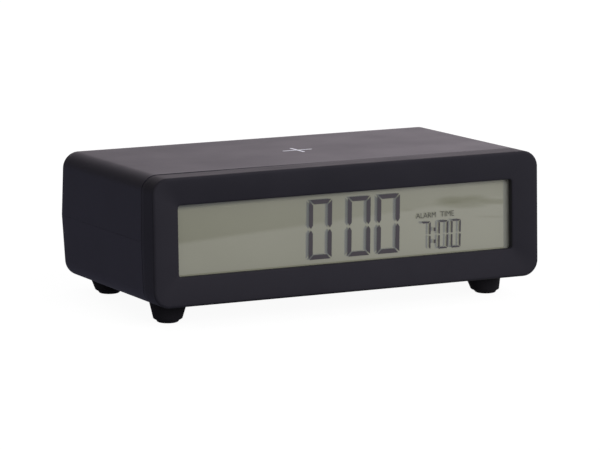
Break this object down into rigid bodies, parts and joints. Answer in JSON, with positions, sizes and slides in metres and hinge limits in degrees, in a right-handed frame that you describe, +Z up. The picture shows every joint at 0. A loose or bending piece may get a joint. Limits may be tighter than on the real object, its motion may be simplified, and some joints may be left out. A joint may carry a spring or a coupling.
{
  "type": "digital alarm clock",
  "caption": "Wide low desk alarm clock with a recessed liquid crystal display in a sloped front frame, rear keys and switch, back battery door and tapered feet.",
  "frame": {"origin": "centre of the bounding box on the surface that the feet stand on", "axes": "+X to the viewer's right along the display, +Y from the front to the back, +Z up"},
  "size_m": [0.17, 0.1006, 0.0607],
  "materials": {
    "front_frame": "satin moulded anthracite plastic",
    "housing": "satin moulded anthracite plastic",
    "keys": "satin moulded dark plastic",
    "switch_knob": "ribbed black plastic",
    "foot_rubber": "matt black rubber",
    "display_film": "greenish grey polariser with dark segments",
    "display_glass": "clear glass cell",
    "touch_mark": "pale printed mark",
    "light_guide": "clear acrylic",
    "white_plastic": "white plastic",
    "inner_plastic": "plain black plastic",
    "contact_rubber": "layered conductive rubber",
    "circuit_board": "green solder mask",
    "component_black": "black epoxy and plastic",
    "steel": "plated steel",
    "copper_foil": "bare copper foil",
    "lead_black": "black wire insulation",
    "lead_red": "red wire insulation",
    "ribbon": "grey flat cable",
    "battery_wrap": "printed battery sleeve"
  },
  "bodies": {
    "root": {"front_frame": "front_frame", "upper_shell": "housing", "lower_shell": "housing", "foot_front_left": "foot_rubber", "foot_front_right": "foot_rubber", "foot_rear_left": "foot_rubber", "foot_rear_right": "foot_rubber", "display_film": "display_film", "lcd_cell": "display_glass", "touch_mark": "touch_mark", "light_guide": "light_guide", "reflector_sheet": "white_plastic", "edge_light_left": "white_plastic", "edge_light_right": "white_plastic", "display_holder": "inner_plastic", "capacitor": "inner_plastic", "battery_tray": "inner_plastic", "contact_strip": "contact_rubber", "main_board": "circuit_board", "control_board": "circuit_board", "clock_chip": "component_black", "key_switch_1": "component_black", "key_switch_2": "component_black", "key_switch_3": "component_black", "key_switch_4": "component_black", "sounder": "component_black", "holder_screw_1": "steel", "holder_screw_2": "steel", "holder_screw_3": "steel", "holder_screw_4": "steel", "quartz_crystal": "steel", "slide_switch": "steel", "board_screw_1": "steel", "board_screw_2": "steel", "battery_spring": "steel", "spring_contact_plate": "steel", "flat_contact_plate": "steel", "case_screw_1": "steel", "case_screw_2": "steel", "case_screw_3": "steel", "case_screw_4": "steel", "touch_plate": "copper_foil", "touch_lead": "lead_black", "battery_lead_black": "lead_black", "sounder_lead": "lead_black", "battery_lead_red": "lead_red", "ribbon_cable": "ribbon", "battery_left": "battery_wrap", "battery_right": "battery_wrap"},
    "battery_door": {"battery_door": "housing"},
    "hour_button": {"hour_button": "keys"},
    "minute_button": {"minute_button": "keys"},
    "time_set_button": {"time_set_button": "keys"},
    "alarm_set_button": {"alarm_set_button": "keys"},
    "alarm_switch": {"alarm_switch": "switch_knob"}
  },
  "joints": [
    {"name": "hour_press", "type": "slide", "parent": "root", "child": "hour_button", "axis": [0, -0.9994, -0.0346], "range_m": [0, 0.0008], "stiffness_N_per_m": 600, "springref_m": -0.0004},
    {"name": "minute_press", "type": "slide", "parent": "root", "child": "minute_button", "axis": [0, -0.9994, -0.0346], "range_m": [0, 0.0008], "stiffness_N_per_m": 600, "springref_m": -0.0004},
    {"name": "time_set_press", "type": "slide", "parent": "root", "child": "time_set_button", "axis": [0, -0.9994, -0.0346], "range_m": [0, 0.0008], "stiffness_N_per_m": 600, "springref_m": -0.0004},
    {"name": "alarm_set_press", "type": "slide", "parent": "root", "child": "alarm_set_button", "axis": [0, -0.9994, -0.0346], "range_m": [0, 0.0008], "stiffness_N_per_m": 600, "springref_m": -0.0004},
    {"name": "alarm_slide", "type": "slide", "parent": "root", "child": "alarm_switch", "axis": [1, 0, 0], "range_m": [0, 0.004]},
    {"name": "battery_door_hinge", "type": "hinge", "parent": "root", "child": "battery_door", "pos_m": [0, 0.04496, 0.01108], "axis": [-1, 0, 0], "range_deg": [0, 85]}
  ]
}
